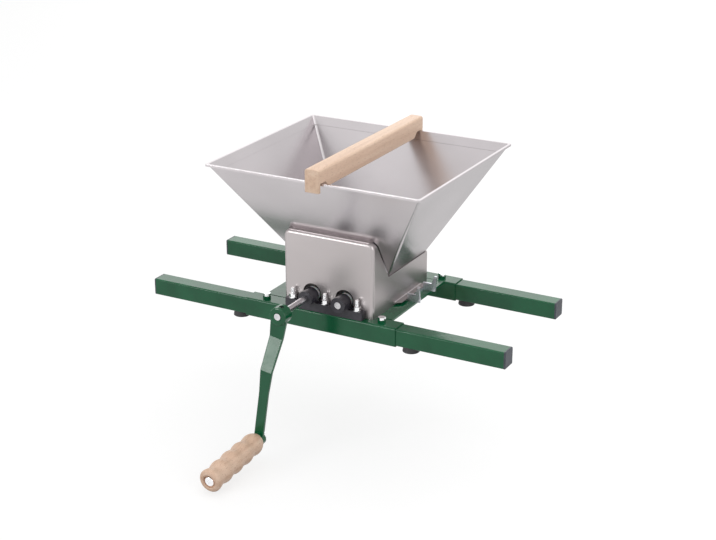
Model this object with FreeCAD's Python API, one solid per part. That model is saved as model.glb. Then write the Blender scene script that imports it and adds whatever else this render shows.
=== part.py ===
import FreeCAD, Part
import math
import os

# Apple scratter: a sheet steel hopper over two toothed rollers, on a frame of square tubes whose
# four arms pull out to reach across a tub. A crank turns the left shaft and a pair of gears turns
# the right one against it. Millimetres, +Z up, the crank towards -Y.
# The origin is on the plane of the feet, below the middle of the hopper's mouth.

V = FreeCAD.Vector

# Feet and pull-out arms
foot_diameter = 25.0
foot_top_diameter = 22.0
foot_height = 8.0
foot_inset = 15.0
foot_screw_diameter = 5.0
foot_screw_head = 9.0
foot_screw_head_height = 3.0
foot_screw_recess = 2.0
foot_screw_reach = 6.0
arm_size = 25.0
arm_wall = 1.5
arm_corner = 2.0
arm_reach = 162.0
arm_gap = 18.0
cap_thickness = 2.5
cap_plug_depth = 12.0
cap_plug_wall = 2.0
cap_edge = 0.8
arm_pulls = {"front_left": 0.5, "front_right": 3.5, "rear_left": -1.0, "rear_right": -1.8}

# Frame
frame_shift = -9.0
frame_length = 244.0
frame_wall = 1.25
frame_corner = 2.5
tube_spacing = 194.0
cross_span = 207.0
cross_width = 45.0
cross_thickness = 3.0
cross_lap = 9.0
clamp_inset = 28.0
clamp_box_gap = 13.0
clamp_diameter = 6.0
clamp_nut_height = 3.4
clamp_head_height = 4.0
clamp_lift = 0.2

# Fasteners: across flats and height of the hexagons
nut_flats = 10.0
nut_height = 5.0
washer_diameter = 11.0
washer_thickness = 1.2
stud_diameter = 6.0
stud_height = 15.3

# Shafts, bearings and gears
axis_rise = 20.5
shaft_diameter = 10.0
shaft_end = 3.0
gear_module = 2.5
gear_teeth = 21
gear_width = 14.0
gear_backlash = 0.3
pressure_angle = 20.0
gear_tube_gap = 3.0
hub_diameter = 18.0
pin_diameter = 4.0
pin_inset = 7.0
boss_diameter = 22.5
boss_overhang = 9.0
block_shift = -2.5
block_length = 124.5
stud_spacing = 52.0
rear_block_length = 103.0
rear_stud_spacing = 45.5
block_depth = 11.0
block_height = 12.7
bush_diameter = 13.0
bush_flange_diameter = 21.5
bush_flange = 5.0
boss_lip = 3.0
block_edge = 1.5

# Rollers
roller_diameter = 51.0
flute_count = 12
flute_depth = 4.5
groove_count = 5
groove_width = 3.0
roller_side_gap = 3.0

# Sheet steel box round the gears and rollers
sheet = 1.0
box_width = 144.0
cover_height = 112.5
cover_depth = 48.3
bend_radius = 5.0
cover_corner = 10.0
arch_diameter = 29.2
arch_rise = 2.0
slot_gap = 1.0
cover_gap = 1.6
chamber_height = 48.9
flange_width = 9.0
flange_bend = 1.5
flange_front = -35.0
flange_rear = 52.0
guide_thickness = 2.0
guide_leg = 22.0
guide_gap = 1.0
guide_slope = 30.0

# Zinc plated brackets that hold the box down
bracket_front = -10.0
bracket_rear = 43.0
bracket_thickness = 3.0
bracket_rise = 21.0
ear_length = 20.0
ear_height = 11.5
ear_finger = 4.0
rear_ear_rise = 2.6
rear_ear_lean = 2.2
front_ear_lean = -1.2
bracket_screw_diameter = 3.0
bracket_screw_head = 5.6
bracket_screw_head_height = 1.5
bracket_nut_flats = 5.5
bracket_nut_height = 2.4

# Hopper
throat_front = -50.0
throat_depth = 120.0
skirt_depth = 15.0
hopper_width = 333.0
hopper_depth = 296.0
hopper_height = 157.8
hem_depth = 12.0
rim_roll = 3.0

# Wooden bar across the hopper
bar_width = 22.0
bar_centre = 9.0
bar_rise = 20.3
bar_drop = 8.0
bar_leg_drop = 12.8
bar_leg = 5.0
bar_end = 8.5
bar_notch = 14.0
bar_edge = 5.0
bar_leg_edge = 1.2

# Crank and grip
crank_length = 193.0
crank_angle = 9.0
crank_front = -190.0
crank_thickness = 5.0
crank_top_width = 21.0
crank_bend_width = 18.6
crank_end_width = 14.4
crank_taper = 36.0
crank_joggle_start = 33.8
crank_joggle_end = 81.2
crank_joggle = 16.4
crank_lean = 2.4
crank_hub_diameter = 26.0
crank_hub_length = 18.0
crank_hub_proud = 4.0
crank_hub_edge = 1.0
crank_eye_diameter = 20.0
crank_eye_proud = 2.0
set_screw_diameter = 6.0
set_screw_length = 7.0
set_screw_socket = 3.0
grip_droop = 4.4
grip_length = 120.0
grip_diameter = 34.0
grip_neck = 29.5
grip_bulges = 5
grip_inner_end = 12.0
grip_outer_end = 4.5
grip_end_diameter = 26.0
grip_play = 0.5
grip_bolt_diameter = 8.0
grip_bolt_head = 14.5
grip_bolt_head_height = 3.6
grip_bolt_slot_width = 1.4
grip_recess_diameter = 19.0
grip_recess_depth = 4.0
grip_nut_flats = 13.0
grip_nut_height = 6.5
grip_washer_diameter = 16.0

# Clearances
slide_gap = 0.25
seat_gap = 0.2
run_gap = 0.03
fit_gap = 0.02
turn_gap = 0.3

# Levels and places worked out from the sizes above
frame_size = arm_size + 2 * (slide_gap + frame_wall)
arm_middle = foot_height + arm_size / 2
frame_bottom = arm_middle - frame_size / 2
frame_top = arm_middle + frame_size / 2
frame_left = frame_shift - frame_length / 2
frame_right = frame_shift + frame_length / 2
tube_y = tube_spacing / 2
tube_inner = tube_y - frame_size / 2
arm_hold = (frame_length - arm_gap) / 2
shaft_spacing = gear_module * gear_teeth
drive_x = -shaft_spacing / 2
idler_x = shaft_spacing / 2
axis_z = frame_top + axis_rise
box_front = throat_front - cover_depth
box_rear = throat_front + throat_depth + seat_gap + sheet
box_side = box_width / 2
cover_top = frame_top + cover_height
throat_z = frame_top + chamber_height
throat_width = box_width - 2 * (sheet + seat_gap)
rim_z = throat_z + hopper_height
block_back = -box_front + turn_gap
block_front = block_back + block_depth
boss_end = block_front + boss_overhang
bush_inner = block_back - bush_flange
hub_end = bush_inner - turn_gap
gear_rear = -(tube_inner - gear_tube_gap - gear_width)
gear_front = gear_rear - gear_width
roller_front = throat_front + roller_side_gap
roller_rear = throat_front + throat_depth - roller_side_gap
crank_bottom_front = crank_front - crank_joggle + crank_lean
eye_front = crank_bottom_front - crank_eye_proud
eye_back = crank_bottom_front + crank_thickness + crank_eye_proud
grip_inner = eye_front - washer_thickness - grip_play
grip_outer = grip_inner - grip_length


def block(x0, x1, y0, y1, z0, z1):
    return Part.makeBox(x1 - x0, y1 - y0, z1 - z0, V(x0, y0, z0))


def rod_y(x, z, diameter, y0, y1):
    """Round bar along Y."""
    return Part.makeCylinder(diameter / 2, y1 - y0, V(x, y0, z), V(0, 1, 0))


def rod_z(x, y, diameter, z0, z1):
    """Round bar along Z."""
    return Part.makeCylinder(diameter / 2, z1 - z0, V(x, y, z0))


def hexagon(flats, height, base, axis):
    """Hexagonal prism for nuts and bolt heads."""
    radius = flats / math.sqrt(3)
    corners = []
    for side in range(6):
        angle = math.radians(60 * side)
        corners.append(V(radius * math.cos(angle), radius * math.sin(angle), 0))
    corners.append(corners[0])
    prism = Part.Face(Part.makePolygon(corners)).extrude(V(0, 0, height))
    prism.Placement = FreeCAD.Placement(base, FreeCAD.Rotation(V(0, 0, 1), axis))
    return prism


def rounded_bar(width, height, radius, x0, x1, y, z):
    """Solid bar along X with rounded edges."""
    bar = block(x0, x1, y - width / 2, y + width / 2, z - height / 2, z + height / 2)
    long_edges = [edge for edge in bar.Edges if abs(edge.tangentAt(edge.FirstParameter).x) > 0.9]
    return bar.makeFillet(radius, long_edges)


def square_tube(size, wall, corner, x0, x1, y, z):
    outside = rounded_bar(size, size, corner, x0, x1, y, z)
    inside = rounded_bar(size - 2 * wall, size - 2 * wall, corner / 2, x0 - 1, x1 + 1, y, z)
    return outside.cut(inside)


def plate_yz(points, x0, x1):
    """Flat plate cut to an outline of (y, z) points."""
    corners = [V(x0, y, z) for y, z in points]
    corners.append(corners[0])
    return Part.Face(Part.makePolygon(corners)).extrude(V(x1 - x0, 0, 0))


def plate_xz(points, y0, y1):
    """Flat plate cut to an outline of (x, z) points."""
    corners = [V(x, y0, z) for x, z in points]
    corners.append(corners[0])
    return Part.Face(Part.makePolygon(corners)).extrude(V(0, y1 - y0, 0))


def mirror_x(shape, x=0.0):
    return shape.mirror(V(x, 0, 0), V(1, 0, 0))


def mirror_y(shape):
    return shape.mirror(V(0, 0, 0), V(0, 1, 0))


def save(name, *solids):
    shape = solids[0] if len(solids) == 1 else Part.makeCompound(list(solids))
    shape.exportStep("parts/" + name + ".step")


# Places where studs and screws stand on the frame tubes
def stud_places(side):
    y = side * (block_back + block_front) / 2
    middle = block_shift if side < 0 else 0
    spacing = stud_spacing if side < 0 else rear_stud_spacing
    return [(middle + step * spacing, y) for step in (-1, 0, 1)]


def clamp_places():
    """Near the left end of each tube, and on the right just beside the box."""
    return [(x, side * tube_y) for side in (-1, 1)
            for x in (frame_left + clamp_inset, box_side + clamp_box_gap)]


def frame_tube(side):
    """One of the two square tubes that carry the bearings and hold the arms."""
    y = side * tube_y
    tube = square_tube(frame_size, frame_wall, frame_corner, frame_left, frame_right, y, arm_middle)
    for x, hole_y in stud_places(side):
        tube = tube.cut(rod_z(x, hole_y, stud_diameter + 2 * fit_gap, arm_middle, frame_top + 1))
    for x, hole_y in clamp_places():
        if hole_y * side > 0:
            tube = tube.cut(rod_z(x, hole_y, clamp_diameter + 2 * fit_gap, arm_middle, frame_top + 1))
    return tube


def bracket_screw_places(side):
    x = side * (box_side + flange_width / 2)
    quarter = (flange_rear - bracket_front) / 4
    return [(x, bracket_front + quarter), (x, flange_rear - quarter)]


def cross_plate(side):
    """Flat steel plate welded between the two tubes, beside the rollers."""
    outer = frame_shift + side * cross_span / 2
    if side > 0:
        inner = outer - cross_width
    else:
        inner = bracket_screw_places(side)[0][0] + cross_lap
    plate = block(min(outer, inner), max(outer, inner), -tube_inner, tube_inner,
                  frame_top - cross_thickness, frame_top)
    for x, y in bracket_screw_places(side):
        hole = rod_z(x, y, bracket_screw_diameter + 2 * seat_gap, frame_bottom, frame_top + 1)
        plate = plate.cut(hole)
    return plate


def bearing_block(middle, length, studs):
    """Black block on the front tube, with a boss for each shaft."""
    body = block(middle - length / 2, middle + length / 2, -block_front, -block_back,
                 frame_top, frame_top + block_height)
    ends = [edge for edge in body.Edges if abs(edge.tangentAt(edge.FirstParameter).z) > 0.9]
    body = body.makeFillet(block_edge, ends)
    for x in (drive_x, idler_x):
        foot = block(x - boss_diameter / 2, x + boss_diameter / 2, -block_front, -block_back,
                     frame_top, axis_z)
        body = body.fuse([foot, rod_y(x, axis_z, boss_diameter, -boss_end, -block_back)])
    body = body.removeSplitter()
    for x in (drive_x, idler_x):
        seat = rod_y(x, axis_z, bush_diameter + 2 * fit_gap, -boss_end + boss_lip, 0)
        body = body.cut([seat, rod_y(x, axis_z, shaft_diameter + 2 * turn_gap, -boss_end - 1, 0)])
    for x, y in studs:
        body = body.cut(rod_z(x, -abs(y), stud_diameter + 2 * seat_gap, 0, cover_top))
    return body


def bush(x):
    """Nylon bush with a flange at its inner end."""
    sleeve = rod_y(x, axis_z, bush_diameter, -boss_end + boss_lip, -block_back)
    flange = rod_y(x, axis_z, bush_flange_diameter, -block_back, -bush_inner)
    bore = rod_y(x, axis_z, shaft_diameter + 2 * run_gap, -boss_end - 1, 0)
    return sleeve.fuse(flange).removeSplitter().cut(bore)


def stud(x, y):
    return rod_z(x, y, stud_diameter, frame_top - frame_wall, frame_top + block_height + stud_height)


def washer(x, y, z):
    ring = rod_z(x, y, washer_diameter, z, z + washer_thickness)
    return ring.cut(rod_z(x, y, stud_diameter + 2 * fit_gap, z - 1, z + washer_thickness + 1))


def nut(x, y, z, flats, height, bore):
    body = hexagon(flats, height, V(x, y, z), V(0, 0, 1))
    return body.cut(rod_z(x, y, bore + 2 * fit_gap, z - 1, z + height + 1))


def clamp_screw(x, y):
    """Hexagon screw that presses on the arm inside the tube."""
    tip = arm_middle + arm_size / 2 + 2 * run_gap
    head = frame_top + clamp_nut_height + clamp_lift
    shank = rod_z(x, y, clamp_diameter, tip, head)
    top = hexagon(nut_flats, clamp_head_height, V(x, y, head), V(0, 0, 1))
    return shank.fuse(top).removeSplitter()


def hopper_wall_front(z):
    """Y of the hopper's front wall, outside, at a height."""
    slope = (hopper_depth / 2 + throat_front) / hopper_height
    return throat_front - slope * (z - throat_z)


def cover_block(inset):
    """Outside of the box, or with an inset its inside, with rounded shoulders and front bends."""
    side = box_side - inset
    front = box_front + inset
    top = cover_top - inset
    body = block(-side, side, front, box_rear + 1, frame_top - inset, top)
    shoulders = [edge for edge in body.Edges
                 if abs(edge.tangentAt(edge.FirstParameter).y) > 0.9
                 and abs(edge.CenterOfMass.z - top) < 0.01]
    body = body.makeFillet(cover_corner - inset, shoulders)
    bends = [edge for edge in body.Edges
             if abs(edge.CenterOfMass.y - front) < 0.01 and edge.CenterOfMass.z > frame_top]
    return body.makeFillet(bend_radius - inset, bends)


def side_flange(side):
    """Strip bent out at the foot of a side, with a mitred front end and a small inside bend."""
    base = frame_top + bracket_thickness
    outer = box_side + flange_width
    plan = [V(box_side - sheet, flange_front, base), V(box_side, flange_front, base),
            V(outer, flange_front + flange_width, base), V(outer, flange_rear, base),
            V(box_side - sheet, flange_rear, base)]
    plan.append(plan[0])
    strip = Part.Face(Part.makePolygon(plan)).extrude(V(0, 0, sheet))
    top = base + sheet
    web = block(box_side, box_side + flange_bend, flange_front + flange_bend, flange_rear,
                top, top + flange_bend)
    web = web.cut(rod_y(box_side + flange_bend, top + flange_bend, 2 * flange_bend,
                        flange_front, flange_rear + 1))
    strip = strip.fuse(web).removeSplitter()
    if side < 0:
        strip = mirror_x(strip)
    for x, y in bracket_screw_places(side):
        strip = strip.cut(screw_hole(x, y))
    return strip


def screw_hole(x, y):
    """Countersunk hole for a bracket screw, through flange and bracket."""
    seat = frame_top + bracket_thickness + sheet
    narrow = bracket_screw_diameter / 2 + seat_gap
    wide = bracket_screw_head / 2 + seat_gap
    hole = Part.makeCone(narrow, wide, bracket_screw_head_height,
                         V(x, y, seat - bracket_screw_head_height))
    return hole.fuse(rod_z(x, y, 2 * narrow, frame_bottom, seat))


def box_shell():
    """Front cover and both sides, folded from one sheet."""
    shell = cover_block(0).cut(cover_block(sheet))
    level = cover_top - sheet
    wall = hopper_wall_front(level)
    shell = shell.cut(plate_yz([(throat_front - cover_gap, throat_z), (box_rear + 1, throat_z),
                                (box_rear + 1, rim_z), (hopper_wall_front(rim_z), rim_z),
                                (wall, level), (wall - cover_gap, level)],
                               -box_side - 1, box_side + 1))
    shell = shell.common(block(-box_side, box_side, box_front, box_rear, frame_top, cover_top))
    for x in (drive_x, idler_x):
        shell = shell.cut(arch(x, arch_diameter, arch_rise, box_front - 1, box_front + sheet + 1))
    for side in (-1, 1):
        edges = sorted((side * (box_side - sheet), side * (box_side + flange_width)))
        relief = block(edges[0], edges[1], bracket_front - seat_gap, bracket_rear + seat_gap,
                       frame_top - 1, frame_top + bracket_thickness)
        shell = shell.cut(relief).fuse(side_flange(side))
    return shell.removeSplitter()


def arch(x, width, rise, y0, y1):
    """Slot, open below, that lets the box be lifted off over the bearings or shafts."""
    top = rod_y(x, axis_z + rise, width, y0, y1)
    return top.fuse(block(x - width / 2, x + width / 2, y0, y1, frame_top - 1, axis_z + rise))


def cross_wall(y0):
    """Upright plate across the box, with slots for the hubs of both shafts."""
    plate = block(-box_side + sheet, box_side - sheet, y0, y0 + sheet, frame_top, throat_z)
    for x in (drive_x, idler_x):
        plate = plate.cut(arch(x, hub_diameter + 2 * slot_gap, 0, y0 - 1, y0 + sheet + 1))
    return plate


def side_guide():
    """Folded strip on the right wall that sends the fruit to the rollers and scrapes them."""
    wall = box_side - sheet
    top = throat_z - skirt_depth
    edge_x = idler_x + roller_diameter / 2 + guide_gap
    tip = math.tan(math.radians(guide_slope))
    inner = wall - guide_thickness
    fall = (inner - edge_x) * tip
    depth = guide_thickness / math.cos(math.radians(guide_slope))
    outline = [(wall, top), (wall, top - guide_leg), (inner, top - guide_leg), (inner, top - depth),
               (edge_x, top - depth - fall), (edge_x, top - fall), (inner, top)]
    return plate_xz(outline, roller_front, roller_rear)


def side_bracket(side):
    """Zinc plated bracket: a foot under the box's flange and two bent ears with fingers."""
    foot = box_side + flange_width
    reach = foot + ear_length
    base = block(box_side - sheet, foot, bracket_front, bracket_rear,
                 frame_top, frame_top + bracket_thickness)
    shoulder = frame_top + ear_height
    ears = [(bracket_front, bracket_rise, front_ear_lean),
            (bracket_rear - bracket_thickness, bracket_rise + rear_ear_rise, rear_ear_lean)]
    for y, rise, lean in ears:
        top = frame_top + rise
        outline = [(foot, frame_top), (reach, frame_top), (reach + lean, top),
                   (reach + lean - ear_finger, top), (reach - 1.5 * ear_finger, shoulder),
                   (foot, shoulder)]
        base = base.fuse(plate_xz(outline, y, y + bracket_thickness))
    base = base.removeSplitter()
    if side < 0:
        base = mirror_x(base)
    for x, y in bracket_screw_places(side):
        base = base.cut(screw_hole(x, y))
    return base


def bracket_screw(x, y):
    """Countersunk screw, flush with the flange, with its nut under the cross plate."""
    seat = frame_top + bracket_thickness + sheet
    low = frame_top - cross_thickness - bracket_nut_height
    shank = rod_z(x, y, bracket_screw_diameter, low, seat)
    head = Part.makeCone(bracket_screw_diameter / 2, bracket_screw_head / 2,
                         bracket_screw_head_height, V(x, y, seat - bracket_screw_head_height))
    return shank.fuse(head).removeSplitter()


def bracket_nut(x, y):
    low = frame_top - cross_thickness - bracket_nut_height
    return nut(x, y, low, bracket_nut_flats, bracket_nut_height, bracket_screw_diameter)


def frustum(half_x0, y00, y01, z0, half_x1, y10, y11, z1):
    """Solid between a lower and an upper rectangle."""
    wires = []
    for half_x, y0, y1, z in ((half_x0, y00, y01, z0), (half_x1, y10, y11, z1)):
        corners = [V(-half_x, y0, z), V(half_x, y0, z), V(half_x, y1, z), V(-half_x, y1, z)]
        corners.append(corners[0])
        wires.append(Part.makePolygon(corners))
    return Part.makeLoft(wires, True, True)


def hopper():
    """Four sloping walls, a short upright skirt below and a folded rim above."""
    rear = throat_front + throat_depth
    low = throat_width / 2
    half_x = hopper_width / 2
    half_y = hopper_depth / 2
    grow_x = (half_x - low) / hopper_height
    grow_f = (half_y + throat_front) / hopper_height
    grow_r = (half_y - rear) / hopper_height

    def shell(inset, z0, z1):
        """Inside or outside of the sloping walls between two heights."""
        side = sheet * inset * math.sqrt(1 + grow_x ** 2)
        front = sheet * inset * math.sqrt(1 + grow_f ** 2)
        back = sheet * inset * math.sqrt(1 + grow_r ** 2)
        rows = []
        for z in (z0, z1):
            up = z - throat_z
            rows += [low + grow_x * up - side, throat_front - grow_f * up + front,
                     rear + grow_r * up - back, z]
        return frustum(*rows)

    walls = shell(0, throat_z, rim_z)
    skirt = block(-low, low, throat_front, rear, throat_z - skirt_depth, throat_z)
    body = walls.fuse(skirt)
    body = body.cut(shell(1, throat_z - sheet, rim_z - hem_depth))
    body = body.cut(shell(2, rim_z - hem_depth - sheet / 2, rim_z + sheet))
    hollow = block(-low + sheet, low - sheet, throat_front + sheet, rear - sheet,
                   throat_z - skirt_depth - 1, throat_z)
    body = body.cut(hollow)
    lip = frustum(half_x + rim_roll / 2, -half_y - rim_roll / 2, half_y + rim_roll / 2,
                  rim_z - rim_roll, half_x + rim_roll / 2, -half_y - rim_roll / 2,
                  half_y + rim_roll / 2, rim_z)
    rim = lip.cut(shell(2, rim_z - hem_depth, rim_z + sheet))
    rim = rim.makeFillet(rim_roll / 2.2, [edge for edge in rim.Edges
                                          if abs(edge.CenterOfMass.z - rim_z) < 0.01
                                          and outside_rim(edge, half_x, half_y)])
    return body.fuse(rim).removeSplitter()


def outside_rim(edge, half_x, half_y):
    middle = edge.CenterOfMass
    return abs(middle.x) > half_x or abs(middle.y) > half_y


def hopper_bar():
    """Wooden bar with a notch at each end that drops over the rim."""
    end = hopper_depth / 2 + bar_end
    leg = end - bar_leg
    inner = leg - bar_notch
    top = rim_z + bar_rise
    rest = rim_z + turn_gap
    low = rim_z - bar_drop
    foot = rim_z - bar_leg_drop
    body = inner - (rest - low)
    half = [(end, top), (end, foot), (leg, foot), (leg, rest), (inner, rest), (body, low)]
    outline = half + [(-y, z) for y, z in reversed(half)]
    bar = plate_yz(outline, bar_centre - bar_width / 2, bar_centre + bar_width / 2)
    long_tops = [edge for edge in bar.Edges
                 if abs(edge.tangentAt(edge.FirstParameter).y) > 0.9
                 and abs(edge.CenterOfMass.z - top) < 0.01]
    bar = bar.makeFillet(bar_edge, long_tops)
    corners = [edge for edge in bar.Edges
               if abs(edge.tangentAt(edge.FirstParameter).z) > 0.9
               and abs(abs(edge.CenterOfMass.y) - end) < 0.01]
    return bar.makeFillet(bar_leg_edge, corners)


def gear(x):
    """Spur gear with involute teeth and a hub on both sides."""
    pitch_radius = gear_module * gear_teeth / 2
    base_radius = pitch_radius * math.cos(math.radians(pressure_angle))
    tip_radius = pitch_radius + gear_module * 0.95
    root_radius = pitch_radius - gear_module * 1.2
    pressure = math.radians(pressure_angle)
    half_tooth = math.pi / (2 * gear_teeth) - gear_backlash / (2 * pitch_radius)
    flank_turn = half_tooth + math.tan(pressure) - pressure
    tip_roll = math.sqrt((tip_radius / base_radius) ** 2 - 1)

    def at(radius, angle):
        return V(radius * math.cos(angle), 0, radius * math.sin(angle))

    def flank(centre, side):
        """One side of a tooth, from its base circle to its tip."""
        points = []
        for step in range(5):
            roll = tip_roll * step / 4
            radius = base_radius * math.sqrt(1 + roll ** 2)
            points.append(at(radius, centre + side * (flank_turn - (roll - math.atan(roll)))))
        return points

    edges = []
    pitch = 2 * math.pi / gear_teeth
    for tooth in range(gear_teeth):
        centre = tooth * pitch
        left = flank(centre, -1)
        right = flank(centre, 1)
        root_in = at(root_radius, centre - flank_turn)
        root_out = at(root_radius, centre + flank_turn)
        next_in = at(root_radius, centre + pitch - flank_turn)
        edges.append(Part.makeLine(root_in, left[0]))
        edges.append(Part.makePolygon(left).Edges)
        edges.append(Part.Arc(left[-1], at(tip_radius, centre), right[-1]).toShape())
        edges.append(Part.makePolygon(right[::-1]).Edges)
        edges.append(Part.makeLine(right[0], root_out))
        edges.append(Part.Arc(root_out, at(root_radius, centre + pitch / 2), next_in).toShape())
    flat = []
    for item in edges:
        flat += item if isinstance(item, list) else [item]
    blank = Part.Face(Part.Wire(flat)).extrude(V(0, gear_width, 0))
    blank.translate(V(x, gear_front, axis_z))
    body = blank.fuse(rod_y(x, axis_z, hub_diameter, -hub_end, roller_front - turn_gap))
    body = body.cut(rod_y(x, axis_z, shaft_diameter + 2 * fit_gap, -hub_end - 1, roller_front))
    return body.cut(rod_z(x, pin_front_y(), pin_diameter + 2 * fit_gap, 0, cover_top)).removeSplitter()


def pin_front_y():
    return -hub_end + pin_inset


def pin_rear_y():
    return hub_end - pin_inset


def roller(x, hand):
    """Roller with saw teeth in rings. hand is 1 or -1, the way that the teeth lean."""
    radius = roller_diameter / 2
    root = radius - flute_depth
    pitch = 2 * math.pi / flute_count
    points = []
    for tooth in range(flute_count):
        start = tooth * pitch
        for r, share in ((root, 0.0), (radius, 0.05), (radius, 0.25), (root, 0.85)):
            angle = hand * (start + share * pitch)
            points.append(V(r * math.cos(angle), 0, r * math.sin(angle)))
    points.append(points[0])
    body = Part.Face(Part.makePolygon(points)).extrude(V(0, roller_rear - roller_front, 0))
    body.translate(V(x, roller_front, axis_z))
    step = (roller_rear - roller_front) / (groove_count + 1)
    for ring in range(1, groove_count + 1):
        y = roller_front + ring * step - groove_width / 2
        outer = rod_y(x, axis_z, roller_diameter + 2, y, y + groove_width)
        body = body.cut(outer.cut(rod_y(x, axis_z, 2 * root - 1, y, y + groove_width)))
    body = body.fuse(rod_y(x, axis_z, hub_diameter, roller_rear, hub_end))
    body = body.cut(rod_y(x, axis_z, shaft_diameter + 2 * fit_gap, roller_front - 1, hub_end + 1))
    return body.cut(rod_z(x, pin_rear_y(), pin_diameter + 2 * fit_gap, 0, cover_top)).removeSplitter()


def shaft(x, front):
    bar = rod_y(x, axis_z, shaft_diameter, front, boss_end + shaft_end)
    for y in (pin_front_y(), pin_rear_y()):
        bar = bar.cut(rod_z(x, y, pin_diameter + 2 * fit_gap, 0, cover_top))
    return bar


def pins(x):
    length = hub_diameter / 2
    return [rod_z(x, y, pin_diameter, axis_z - length, axis_z + length)
            for y in (pin_front_y(), pin_rear_y())]


def on_crank(shape):
    """Turn a piece made hanging straight below the origin to the crank's rest place."""
    shape = shape.copy()
    shape.rotate(V(0, 0, 0), V(0, 1, 0), crank_angle)
    shape.translate(V(drive_x, 0, axis_z))
    return shape


def droop(shape):
    """Tilt a piece at the crank's lower end, so that its outer end hangs."""
    shape = shape.copy()
    shape.rotate(V(0, crank_bottom_front, -crank_length), V(1, 0, 0), grip_droop)
    return shape


def set_screw_y():
    return crank_front - crank_hub_proud + crank_hub_length / 2


def crank_arm():
    """Flat bar with a joggle, a hub for the shaft above and an eye for the grip below."""
    hub_front = crank_front - crank_hub_proud
    hub_back = hub_front + crank_hub_length
    eye = -crank_length
    end = eye - crank_eye_diameter / 2
    mid = crank_front - crank_joggle
    end_front = crank_bottom_front + crank_lean * crank_eye_diameter / 2 / (
        crank_length - crank_joggle_end)
    front = [(crank_front, crank_hub_diameter / 2), (crank_front, -crank_joggle_start),
             (mid, -crank_joggle_end), (end_front, end)]
    back = [(y + crank_thickness, z) for y, z in reversed(front)]
    strip = plate_yz(front + back, -crank_hub_diameter, crank_hub_diameter)
    half = [(crank_hub_diameter / 2, 0), (crank_top_width / 2, -crank_joggle_start),
            (crank_bend_width / 2, -crank_joggle_end),
            (crank_end_width / 2, -crank_joggle_end - crank_taper), (crank_end_width / 2, eye)]
    near = mid - 2 * crank_thickness
    sides = plate_xz(half + [(-x, z) for x, z in reversed(half)], near, hub_back)
    sides = sides.fuse([rod_y(0, eye, crank_eye_diameter, near, hub_back),
                        rod_y(0, 0, crank_hub_diameter, near, hub_back)])
    hub = rod_y(0, 0, crank_hub_diameter, hub_front, hub_back)
    rim = [edge for edge in hub.Edges
           if abs(edge.CenterOfMass.y - hub_front) < 0.01 and edge.Closed]
    hub = hub.makeFillet(crank_hub_edge, rim)
    boss = droop(rod_y(0, eye, crank_eye_diameter, eye_front, eye_back))
    arm = strip.common(sides).fuse([hub, boss]).removeSplitter()
    arm = arm.cut(rod_y(0, 0, shaft_diameter + 2 * fit_gap, hub_front - 1, hub_back + 1))
    arm = arm.cut(Part.makeCone(shaft_diameter / 2 + crank_hub_edge, shaft_diameter / 2,
                                crank_hub_edge, V(0, hub_front, 0), V(0, 1, 0)))
    arm = arm.cut(droop(rod_y(0, eye, grip_bolt_diameter + 2 * fit_gap, grip_inner, hub_back)))
    hole = rod_z(0, set_screw_y(), set_screw_diameter + 2 * fit_gap, 0, crank_hub_diameter)
    return on_crank(arm.cut(hole))


def set_screw():
    """Grub screw with a hexagon socket that locks the hub on the shaft."""
    low = shaft_diameter / 2 + fit_gap
    top = low + set_screw_length
    body = rod_z(0, set_screw_y(), set_screw_diameter, low, top)
    socket = hexagon(set_screw_socket, set_screw_socket, V(0, set_screw_y(), top - set_screw_socket),
                     V(0, 0, 1))
    return on_crank(body.cut(socket))


def swell(top_y, end_y, end_radius):
    """Arc in half section from the highest point of a bulge to a lower point beside it."""
    top = grip_diameter / 2
    drop = top - end_radius
    radius = (drop ** 2 + (end_y - top_y) ** 2) / (2 * drop)
    half = math.asin(abs(end_y - top_y) / radius) / 2
    side = 1 if end_y > top_y else -1
    middle = V(top - radius + radius * math.cos(half), top_y + side * radius * math.sin(half), 0)
    return Part.Arc(V(top, top_y, 0), middle, V(end_radius, end_y, 0)).toShape()


def grip():
    """Turned beech grip that spins on its bolt."""
    first = grip_inner - grip_inner_end
    last = grip_outer + grip_outer_end
    pitch = (first - last) / (grip_bulges - 1)
    end_radius = grip_end_diameter / 2
    edges = [swell(first, grip_inner, end_radius), swell(last, grip_outer, end_radius)]
    for number in range(grip_bulges - 1):
        top = first - number * pitch
        edges.append(swell(top, top - pitch / 2, grip_neck / 2))
        edges.append(swell(top - pitch, top - pitch / 2, grip_neck / 2))
    edges += [Part.makeLine(V(end_radius, grip_outer, 0), V(0, grip_outer, 0)),
              Part.makeLine(V(0, grip_outer, 0), V(0, grip_inner, 0)),
              Part.makeLine(V(0, grip_inner, 0), V(end_radius, grip_inner, 0))]
    outline = Part.Wire(Part.__sortEdges__(edges))
    body = Part.Face(outline).revolve(V(0, 0, 0), V(0, 1, 0), 360)
    eye = -crank_length
    body.translate(V(0, 0, eye))
    body = body.cut(rod_y(0, eye, grip_bolt_diameter + 6 * run_gap, grip_outer - 1, grip_inner + 1))
    body = body.cut(rod_y(0, eye, grip_recess_diameter, grip_outer - 1, grip_outer + grip_recess_depth))
    return on_crank(droop(body))


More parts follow.
